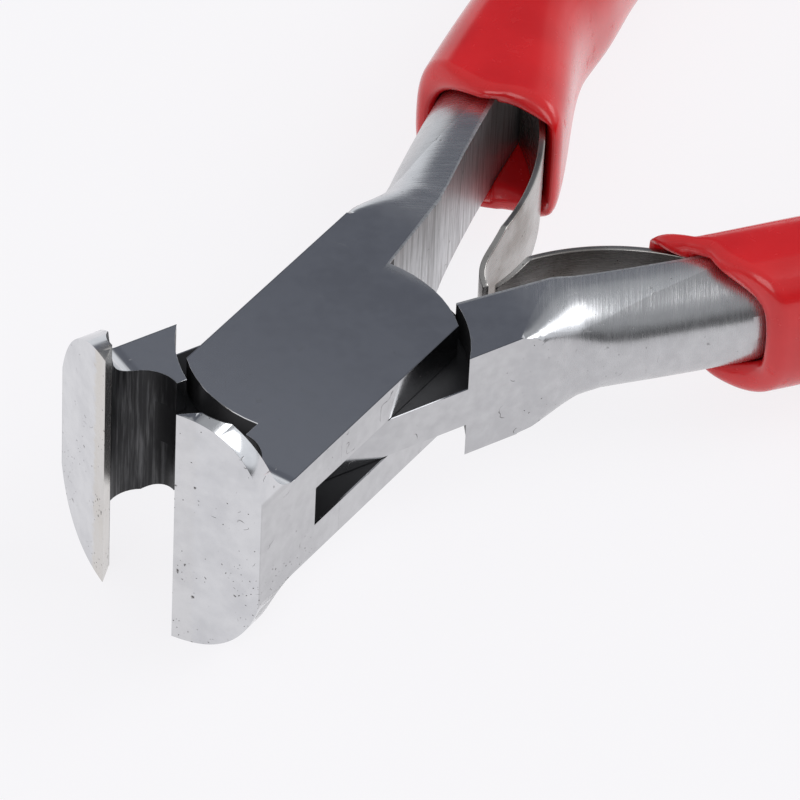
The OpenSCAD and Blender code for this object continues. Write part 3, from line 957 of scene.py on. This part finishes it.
@dataclass
class Half:
    """One forged half: jaw, joint and handle in one piece, with its sharp edges broken."""

    side: Side
    edge_break: float = 0.08
    sharp_angle: float = 24.0
    weld: float = 0.004
    flat_angle: float = 0.25
    shade_angle: float = 32.0
    flat_weight: int = 80
    level: float = 0.99995
    rivet_room: float = 3.2
    least_length: float = 0.176
    least_width: float = 0.088

    def build(self, finish: PolishedSteel) -> bpy.types.Object:
        """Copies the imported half, joins its triangles, breaks its edges and dresses it.

        Args:
            finish: Finish of the steel.

        Returns:
            The new piece.
        """
        node = f"{self.side.value}_half"
        name = f"{self.side.value}_forging"
        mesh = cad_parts[node].data.copy()
        mesh.name = name
        bm = bmesh.new()
        bm.from_mesh(mesh)
        bmesh.ops.remove_doubles(bm, verts=bm.verts, dist=self.weld * MM)
        bmesh.ops.dissolve_limit(bm, angle_limit=np.radians(self.flat_angle), verts=bm.verts, edges=bm.edges)
        bm.normal_update()
        limit = np.radians(self.sharp_angle)
        sharp = [e for e in bm.edges if e.is_manifold and e.calc_face_angle(0.0) > limit and self.is_free(e)]
        bmesh.ops.bevel(bm, geom=sharp, offset=self.edge_break * MM, segments=2, profile=0.5,
                        affect="EDGES", clamp_overlap=True, material=-1)
        bm.to_mesh(mesh)
        bm.free()
        mesh.materials.clear()
        mesh.materials.append(finish.material(f"{name}_steel", self.side))
        mesh.shade_smooth()
        mesh.set_sharp_from_angle(angle=np.radians(self.shade_angle))
        self.part_flats(mesh)
        piece = bpy.data.objects.new(name, mesh)
        bpy.context.scene.collection.objects.link(piece)
        weigh = piece.modifiers.new("even_flats", "WEIGHTED_NORMAL")
        weigh.keep_sharp = True
        weigh.weight = self.flat_weight
        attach(piece, self.side.value)
        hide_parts(node)
        return piece

    def part_flats(self, mesh: bpy.types.Mesh) -> None:
        """Marks the outline of the joint's two ground flats as sharp.

        Args:
            mesh: Mesh of the half.
        """
        bm = bmesh.new()
        bm.from_mesh(mesh)
        bm.normal_update()
        for edge in bm.edges:
            level = [abs(face.normal.z) > self.level for face in edge.link_faces]
            if len(level) == 2 and level[0] != level[1]:
                edge.smooth = False
        bm.to_mesh(mesh)
        bm.free()

    def is_free(self, edge: bmesh.types.BMEdge) -> bool:
        """Whether an edge can be broken.

        Args:
            edge: Edge of the half's mesh.

        Returns:
            False at the pivot rivet, whose rim is ground flush, and beside edges or faces that are too
            small for the break.
        """
        middle = (edge.verts[0].co + edge.verts[1].co) / 2
        lengths = [near.calc_length() for vert in edge.verts for near in vert.link_edges]
        faces = {face for vert in edge.verts for face in vert.link_faces}
        widths = [face.calc_area() / max(e.calc_length() for e in face.edges) for face in faces]
        clear = middle.xy.length > self.rivet_room * MM
        return clear and min(lengths) > self.least_length * MM and min(widths) > self.least_width * MM


@dataclass
class Rivets:
    """The pivot rivet and the two rivets under the grips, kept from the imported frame."""

    def build(self, finish: PolishedSteel) -> list[bpy.types.Object]:
        """Dresses the three rivets.

        Args:
            finish: Finish of the steel.

        Returns:
            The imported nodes, with their new material.
        """
        sides = {
            "pivot_rivet": Side.OUTER,
            "outer_spring_rivet": Side.OUTER,
            "inner_spring_rivet": Side.INNER,
        }
        found = []
        for node, side in sides.items():
            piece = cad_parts[node]
            piece.data.materials.clear()
            piece.data.materials.append(finish.material(f"{node}_steel", side))
            found.append(piece)
        return found


@dataclass(frozen=True)
class Wall:
    """A patch of the studio: the way to its middle, where it starts and is full, and its brightness."""

    way: tuple[float, float, float]
    fade: tuple[float, float]
    level: float

    def mask(self, x: Wire, y: Wire, z: Wire) -> Wire:
        """1 in the middle of the patch, by how far a direction points its way, and 0 away from it."""
        return (x * self.way[0] + y * self.way[1] + z * self.way[2]).step(*self.fade)


@dataclass(frozen=True)
class SoftBox:
    """A square lamp that faces the pivot: its place and side in millimetres, its power in watts."""

    name: str
    place: tuple[float, float, float]
    size: float
    power: float


@dataclass
class Stage:
    """Floor, studio light and the camera at the photograph's angle."""

    azimuth: float = 44.51
    elevation: float = 42.07
    roll: float = 2.86
    distance: float = 400.0
    focal_px: float = 7324.69
    pivot_px: tuple[float, float] = (321.12, 389.6)
    picture: float = 800.0
    sensor: float = 36.0
    floor_half: float = 3000.0
    jaw_low: tuple[float, float] = (-12.6, -11.6)
    grip_low: tuple[float, float] = (97.0, -8.05)
    floor_gap: float = 0.02
    floor_colour: Colour = (0.88, 0.875, 0.9, 1.0)
    floor_white: Colour = (0.985, 0.975, 0.995, 1.0)
    floor_share: float = 0.85
    backdrop: Colour = (0.985, 0.98, 0.995, 1.0)
    daylight: Colour = (0.94, 0.965, 1.0, 1.0)
    dim_tint: Colour = (0.135, 0.148, 0.19, 1.0)
    black: Colour = (0.0, 0.0, 0.0, 1.0)
    zenith: float = 0.46
    low_wall: Wall = Wall((0.95, -0.3, 0.0), (-0.35, 0.45), 0.10)
    low_level: float = 0.92
    bright_wall: Wall = Wall((0.52, 0.70, 0.49), (0.84, 0.95), 1.5)
    dim_wall: Wall = Wall((-0.61, 0.53, 0.585), (0.925, 0.98), 0.155)
    boxes: tuple[SoftBox, ...] = (
        SoftBox("key", (270.0, 400.0, 500.0), 420.0, 1.2),
        SoftBox("fill", (350.0, -650.0, 420.0), 500.0, 1.6),
    )

    def camera(self) -> bpy.types.Object:
        """Places the camera from its angles and the picture point of the pivot's middle.

        Returns:
            The camera, set as the scene's own.
        """
        az, el, r = np.radians([self.azimuth, self.elevation, self.roll])
        back = np.array([np.sin(az) * np.cos(el), -np.cos(az) * np.cos(el), np.sin(el)])
        right = np.array([np.cos(az), np.sin(az), 0.0])
        up = np.cross(back, right)
        across = np.cos(r) * right + np.sin(r) * up
        rise = -np.sin(r) * right + np.cos(r) * up
        middle = self.picture / 2
        px = (self.pivot_px[0] - middle) / self.focal_px
        py = (middle - self.pivot_px[1]) / self.focal_px
        place = self.distance * (back - px * across - py * rise) + np.array([0.0, 0.0, -JOINT_T / 2])
        data = bpy.data.cameras.new("camera")
        data.sensor_fit = "HORIZONTAL"
        data.sensor_width = self.sensor
        data.lens = self.focal_px / self.picture * self.sensor
        data.clip_start = 0.01
        data.clip_end = 20.0
        camera = bpy.data.objects.new("camera", data)
        matrix = np.eye(4)
        matrix[:3, 0], matrix[:3, 1], matrix[:3, 2], matrix[:3, 3] = across, rise, back, place * MM
        camera.matrix_world = Matrix(matrix.tolist())
        bpy.context.scene.collection.objects.link(camera)
        bpy.context.scene.camera = camera
        return camera

    def floor(self) -> bpy.types.Object:
        """White table top, tilted to touch the jaws and the ends of the grips.

        Returns:
            The floor.
        """
        slope = (self.grip_low[1] - self.jaw_low[1]) / (self.grip_low[0] - self.jaw_low[0])
        line = np.linspace(-self.floor_half, self.floor_half, 9)
        x, y = np.meshgrid(line, line, indexing="ij")
        z = self.jaw_low[1] + (y - self.jaw_low[0]) * slope - self.floor_gap
        index = np.arange(x.size).reshape(x.shape)
        quads = np.stack([index[:-1, :-1], index[1:, :-1], index[1:, 1:], index[:-1, 1:]], -1).reshape(-1, 4)
        mesh = bpy.data.meshes.new("floor")
        mesh.from_pydata((MM * np.stack([x, y, z], -1)).reshape(-1, 3).tolist(), [], quads.tolist())
        material, s = new_material("white_table")
        path = s.add("ShaderNodeLightPath", {}, {})
        seen = s.out(path, "Is Camera Ray") + s.out(path, "Is Glossy Ray")
        seen = seen + s.out(path, "Is Transmission Ray")
        plain = s.add("ShaderNodeBsdfDiffuse", {}, {"Color": self.floor_colour})
        white = s.add("ShaderNodeEmission", {}, {"Color": self.floor_white, "Strength": 1.0})
        inputs = {0: seen * self.floor_share, 1: s.out(plain), 2: s.out(white)}
        s.finish(s.out(s.add("ShaderNodeMixShader", {}, inputs)))
        mesh.materials.append(material)
        floor = bpy.data.objects.new("floor", mesh)
        bpy.context.scene.collection.objects.link(floor)
        return floor

    def world(self) -> None:
        """Studio round the table: a pale wall at the left, a bright one at the back, dim gaps between."""
        world = bpy.data.worlds.new("studio")
        world.use_nodes = True
        bpy.context.scene.world = world
        s = Surface(world.node_tree)
        way = s.out(s.add("ShaderNodeTexCoord", {}, {}), "Generated")
        x, y, z = s.split(way)
        low = self.low_level + self.low_wall.mask(x, y, z) * (self.low_wall.level - self.low_level)
        level = low + (self.zenith - low) * z.step(0.2, 0.6)
        level = level + (self.bright_wall.level - level) * self.bright_wall.mask(x, y, z)
        behind = self.dim_wall.mask(x, y, z)
        level = level + (self.dim_wall.level - level) * behind
        path = s.add("ShaderNodeLightPath", {}, {})
        tint = s.mix(level, self.black, self.daylight)
        tint = s.mix(behind * 0.6, tint, self.dim_tint)
        colour = s.mix(s.out(path, "Is Camera Ray"), tint, self.backdrop)
        background = s.add("ShaderNodeBackground", {}, {"Color": colour, "Strength": 1.0})
        s.finish(s.out(background), "ShaderNodeOutputWorld")

    def lamps(self) -> list[bpy.types.Object]:
        """Two soft boxes: the key at the back right and a weak one over the camera.

        Returns:
            The lamps.
        """
        lamps = []
        for box in self.boxes:
            data = bpy.data.lights.new(box.name, "AREA")
            data.size = box.size * MM
            data.energy = box.power
            lamp = bpy.data.objects.new(box.name, data)
            lamp.location = Vector(box.place) * MM
            lamp.rotation_euler = (-lamp.location).to_track_quat("-Z", "Y").to_euler()
            bpy.context.scene.collection.objects.link(lamp)
            lamps.append(lamp)
        return lamps


def main() -> None:
    """Builds the stage and every piece in order."""
    logging.basicConfig(level=logging.INFO, format="%(message)s")
    scene = bpy.context.scene
    scene.view_settings.view_transform = "Standard"
    stage = Stage()
    stage.camera()
    stage.floor()
    stage.world()
    stage.lamps()
    steel, strip, plastic = PolishedSteel(), SpringSteel(), DippedPlastic()
    line = HandleLine()
    outer_leaf = LeafSpring(Side.OUTER, root_y=26.9, radius=17.6, tip_angle=0.0, hook_r=1.7,
                            hook_angle=64.0, tip_len=3.2, handle=line)
    inner_leaf = LeafSpring(Side.INNER, root_y=22.1, radius=12.1, tip_angle=7.0, hook_r=4.0,
                            hook_angle=27.0, tip_len=1.7, handle=line)
    outer_grip = Grip(Side.OUTER, outer_leaf.root_y, outer_leaf.radius, line,
                      round_back=0.3, leaf_forward=-0.9)
    inner_grip = Grip(Side.INNER, inner_leaf.root_y, inner_leaf.radius, line,
                      round_back=1.3, leaf_forward=1.6)
    pieces = [Half(side).build(steel) for side in Side]
    pieces += Rivets().build(steel)
    pieces += [leaf.build(strip) for leaf in (outer_leaf, inner_leaf)]
    pieces += [grip.build(plastic) for grip in (outer_grip, inner_grip)]
    for piece in pieces:
        LOG.info("built %s with %d faces", piece.name, len(piece.data.polygons))


if __name__ == "__main__":
    main()
